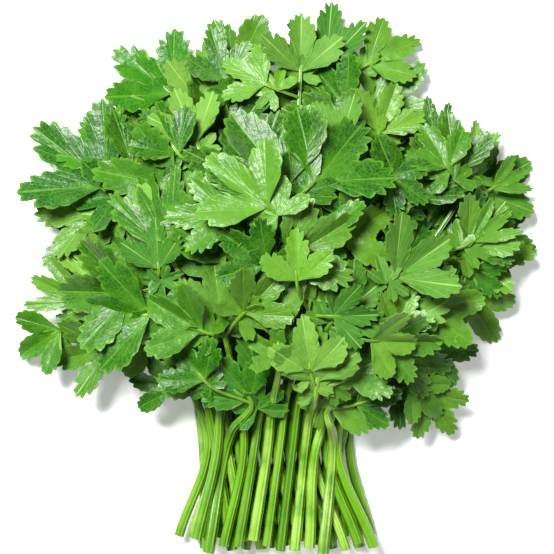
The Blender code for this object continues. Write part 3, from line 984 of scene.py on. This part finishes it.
def stalkMaterial():
    look = stalkFinish
    n = Nodes("parsleyStalk")
    u, v = n.uv()
    tone, paleness, coolness = n.tone()
    rib = n.mapRange(n.stripes(u, look["ribs"]), *look["ribEdges"])
    where = n.objectSpace()
    cloud = n.noise(where, look["cloudScale"], 3.0, 0.5)
    stretch = n.add("ShaderNodeMapping")
    n.link(where, stretch.inputs["Vector"])
    stretch.inputs["Scale"].default_value = (1.0, look["fibreStretch"], 1.0)
    fibre = n.noise(stretch.outputs[0], look["fibreScale"], 3.0, 0.6)
    light = n.vary(tone, cloud, look["cloudLight"], clamp=True)
    colour = n.mix(light, look["shade"], look["light"])
    colour = n.mix(n.math("MULTIPLY", rib, look["ribShow"]), colour, look["rib"])
    start, end, most = look["fibreShade"]
    colour = n.mix(n.mapRange(fibre, start, end, 0.0, most), colour, look["shade"])
    pale = n.math("MULTIPLY", paleness, n.mapRange(cloud, *look["cloudPale"]))
    colour = n.mix(pale, colour, look["pale"])
    n.link(colour, n.shader.inputs["Base Color"])
    n.shader.inputs["Roughness"].default_value = look["roughness"]
    n.shader.inputs["Subsurface Weight"].default_value = look["soft"]
    n.shader.inputs["Subsurface Radius"].default_value = look["softRadius"]
    n.bump(n.math("MULTIPLY_ADD", fibre, look["fibreHeight"], rib), *look["bump"])
    return n.material


def cutMaterial():
    look = stalkFinish
    n = Nodes("parsleyCutEnd")
    where = n.objectSpace()
    cell = n.add("ShaderNodeTexVoronoi")
    n.link(where, cell.inputs["Vector"])
    cell.inputs["Scale"].default_value = look["cellScale"]
    pith = n.noise(where, look["pithScale"], 3.0, 0.6)
    colour = n.mix(n.mapRange(pith, *look["pithEdges"]), look["cut"], look["cutCore"])
    start, end, most = look["cellEdges"]
    wall = n.mapRange(cell.outputs["Distance"], start, end, 0.0, most)
    colour = n.mix(wall, colour, look["light"])
    n.link(colour, n.shader.inputs["Base Color"])
    n.shader.inputs["Roughness"].default_value = look["cutRoughness"]
    n.bump(cell.outputs["Distance"], *look["cutBump"])
    return n.material


stalkGreen = stalkMaterial()
cutEnd = cutMaterial()

tube = {
    "stemSides": 20,
    "stemRings": 34,
    "sideSides": 10,
    "sideRings": 9,
    "ribDepth": 0.07,         # of the ribs over the radius
    "ribs": 7,
    "endRim": 0.82,           # cut face over the stem
    "endDip": 0.0012,
    "core": 0.4,
    "ribLevel": 0.4,
    "flatness": 0.06,
    "fullTurn": 6.28,
    "flow": 0.30,             # share of a blade along which its stalk runs on
    "flowRadius": 0.00010,
    "flowSink": 0.0004,
    "smoothAngle": 50,
    "seed": 9000,
    "tone": (0.55, 0.34),     # middle and spread from stem to stem
    "pale": (0.65, 2.5),      # palest, and the power that keeps most stems green
    "sideTone": 0.85,         # side stalks over their stem
    "sidePale": (0.15, 0.6),
}


def makeMasterTube(name, sides, rings):
    # a cylinder one unit long and one in radius, its lower end the cut one
    bpy.ops.object.select_all(action="DESELECT")
    bpy.ops.mesh.primitive_cylinder_add(vertices=sides, radius=1, depth=1, location=(0, 0, 0.5))
    thing = bpy.context.object
    thing.name = name
    selectOnly(thing)
    bpy.ops.object.transform_apply(location=True, rotation=True, scale=True)
    mesh = thing.data
    deselectMesh(mesh)
    for edge in mesh.edges:
        ends = [mesh.vertices[index].co.z for index in edge.vertices]
        edge.select = abs(ends[0] - ends[1]) > 0.5
    editMesh("EDGE")
    bpy.ops.mesh.subdivide(number_cuts=rings - 1)
    bpy.ops.object.mode_set(mode="OBJECT")
    mesh.materials.append(stalkGreen)
    mesh.materials.append(cutEnd)
    for end in (0, 1):
        deselectMesh(mesh)
        for face in mesh.polygons:
            face.select = abs(face.center.z - end) < 0.001
        editMesh("FACE")
        bpy.ops.mesh.inset(thickness=1 - tube["endRim"], depth=0)
        bpy.ops.transform.translate(value=(0, 0, tube["endDip"] * (1 - 2 * end)))
        bpy.ops.mesh.inset(thickness=tube["core"], depth=0)
        bpy.ops.object.mode_set(mode="OBJECT")
    for face in mesh.polygons:  # only the lower end is cut
        face.material_index = int(face.center.z < 2 * tube["endDip"] and abs(face.normal.z) > 0.9)
    return thing


masterStem = makeMasterTube("masterStem", tube["stemSides"], tube["stemRings"])
masterStalk = makeMasterTube("masterStalk", tube["sideSides"], tube["sideRings"])


def curveThrough(stations, radii, shares):
    # Catmull-Rom through the stations, which are reached at even steps of their chord lengths
    stations = np.array([list(station) for station in stations], float)
    radii = np.array(radii, float)
    gaps = np.linalg.norm(np.diff(stations, axis=0), axis=1)
    knots = np.concatenate([[0], np.cumsum(gaps)]) / gaps.sum()
    tangents = np.gradient(stations, knots, axis=0)
    places, widths = [], []
    for share in shares:
        piece = int(np.clip(np.searchsorted(knots, share, side="right") - 1, 0, len(knots) - 2))
        span = knots[piece + 1] - knots[piece]
        t = min(max((share - knots[piece]) / span, 0), 1)
        a, b = stations[piece], stations[piece + 1]
        ta, tb = tangents[piece] * span, tangents[piece + 1] * span
        places.append((2 * t ** 3 - 3 * t ** 2 + 1) * a + (t ** 3 - 2 * t ** 2 + t) * ta
                      + (-2 * t ** 3 + 3 * t ** 2) * b + (t ** 3 - t ** 2) * tb)
        widths.append(radii[piece] + (radii[piece + 1] - radii[piece]) * t)
    return np.array(places), np.array(widths)


def tubePoints(master, points, dice, ribDepth):
    corners = verticesOf(master)
    shares = np.clip(corners[:, 2], 0, 1)
    levels, which = np.unique(shares.round(5), return_inverse=True)
    places, widths = curveThrough([place for place, radius in points],
                                  [radius for place, radius in points], levels)
    ways = np.gradient(places, axis=0)
    ways /= np.linalg.norm(ways, axis=1)[:, None]
    # carry the frame along the curve, so the ribs run straight
    side = np.cross(ways[0], (0, 0, 1))
    side /= np.linalg.norm(side)
    sides = []
    for way in ways:
        side = side - way * np.dot(side, way)
        side /= np.linalg.norm(side)
        sides.append(side)
    sides = np.array(sides)
    tops = np.cross(sides, ways)
    angle = np.arctan2(corners[:, 1], corners[:, 0])
    radius = np.hypot(corners[:, 0], corners[:, 1])
    turn = dice.uniform(0, tube["fullTurn"])
    ribbed = 1 + ribDepth * (np.cos(angle * tube["ribs"]) - tube["ribLevel"])
    flat = 1 - tube["flatness"] * np.cos(2 * angle + turn)
    out = (widths[which] * radius * ribbed * flat)[:, None]
    return (place + places[which] + out * (np.cos(angle)[:, None] * sides[which]
                                           + np.sin(angle)[:, None] * tops[which]))


def intoBlade(leaf):
    return [(leaf.point(0, tube["flow"]) - leaf.up * tube["flowSink"], tube["flowRadius"])]


def makeStalks(number, sprig):
    dice = random.Random(tube["seed"] + number)
    things = []
    tone = min(max(dice.gauss(*tube["tone"]), 0), 1)
    palest, power = tube["pale"]
    pale = palest * dice.random() ** power
    line = sprig.stemPoints() + intoBlade(sprig.blade)
    points = tubePoints(masterStem, line, dice, tube["ribDepth"])
    thing = copyOf(masterStem, f"stem{number}", points)
    writeTone(thing, (tone, pale, 0))
    things.append(thing)
    least, more = tube["sidePale"]
    for branch in sprig.branches:
        line = branch.points() + intoBlade(branch.blade)
        thing = copyOf(masterStalk, f"stalk{number}", tubePoints(masterStalk, line, dice, 0.0))
        writeTone(thing, (tone * tube["sideTone"], least + pale * more, 0))
        things.append(thing)
    stalks = joined(things, f"stalks_{number:02d}")
    bpy.ops.object.shade_smooth_by_angle(angle=math.radians(tube["smoothAngle"]))
    return stalks


for number, sprig in enumerate(sprigs, 1):
    node = f"sprig_{number:02d}"
    stalks = makeStalks(number, sprig)
    leaves = makeLeaves(number, sprig)
    for piece, slot in ((stalks, "stem"), (leaves, "leaf")):
        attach(piece, "root")
        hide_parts(node)
faces = sum(len(thing.data.polygons) for thing in bpy.data.objects
            if thing.name.startswith(("stalks_", "leaves_")))
print("sprigs grown,", faces, "faces")

for master in (masterLeaf, masterLeaflet, masterStem, masterStalk):
    bpy.data.objects.remove(master, do_unlink=True)

studio = {
    "floorSize": 6.0,
    "floorColour": (0.93, 0.94, 0.93, 1),
    "floorRoughness": 0.9,
    "floorGlow": 0.25,
    "worldLight": 0.09,
    "keyPlace": (-0.35, 0.45, 0.95),
    "keySize": 0.40,
    "keyPower": 28.0,
    "fillPlace": (0.55, -0.35, 0.80),
    "fillSize": 0.8,
    "fillPower": 2.2,
    "lens": 100.0,
    "viewWidth": 0.2222,
    "viewLevel": 0.020,
    "viewShift": (-0.0012, -0.0016),
}


def makeFloor():
    bpy.ops.object.select_all(action="DESELECT")
    bpy.ops.mesh.primitive_plane_add(size=studio["floorSize"], location=(0, 0, cadBox[0][2]))
    floor = bpy.context.object
    floor.name = "paleFloor"
    selectOnly(floor)
    bpy.ops.object.transform_apply(location=True, rotation=True, scale=True)
    n = Nodes("paleFloor")
    n.shader.inputs["Base Color"].default_value = studio["floorColour"]
    n.shader.inputs["Roughness"].default_value = studio["floorRoughness"]
    n.shader.inputs["Emission Color"].default_value = studio["floorColour"]
    n.shader.inputs["Emission Strength"].default_value = studio["floorGlow"]
    floor.data.materials.append(n.material)


def areaLight(name, spot, size, power):
    light = bpy.data.lights.new(name, "AREA")
    light.shape = "DISK"
    light.size = size
    light.energy = power
    lamp = bpy.data.objects.new(name, light)
    lamp.location = spot
    lamp.rotation_euler = (-Vector(spot)).to_track_quat("-Z", "Y").to_euler()
    bpy.context.scene.collection.objects.link(lamp)


def makeStudio():
    makeFloor()
    areaLight("keyLight", studio["keyPlace"], studio["keySize"], studio["keyPower"])
    areaLight("fillLight", studio["fillPlace"], studio["fillSize"], studio["fillPower"])
    world = bpy.data.worlds.new("softWorld")
    world.use_nodes = True
    world.node_tree.nodes["Background"].inputs[0].default_value = (1, 1, 1, 1)
    world.node_tree.nodes["Background"].inputs[1].default_value = studio["worldLight"]
    bpy.context.scene.world = world
    camera = bpy.data.cameras.new("camera")
    camera.lens = studio["lens"]
    camera.clip_start = 0.01
    viewer = bpy.data.objects.new("camera", camera)
    distance = studio["viewWidth"] * studio["lens"] / camera.sensor_width
    viewer.location = (*studio["viewShift"], studio["viewLevel"] + distance)
    viewer.rotation_euler = (0, 0, 0)
    bpy.context.scene.collection.objects.link(viewer)
    bpy.context.scene.camera = viewer
    bpy.context.scene.view_settings.view_transform = "Standard"


makeStudio()
print("studio ready")
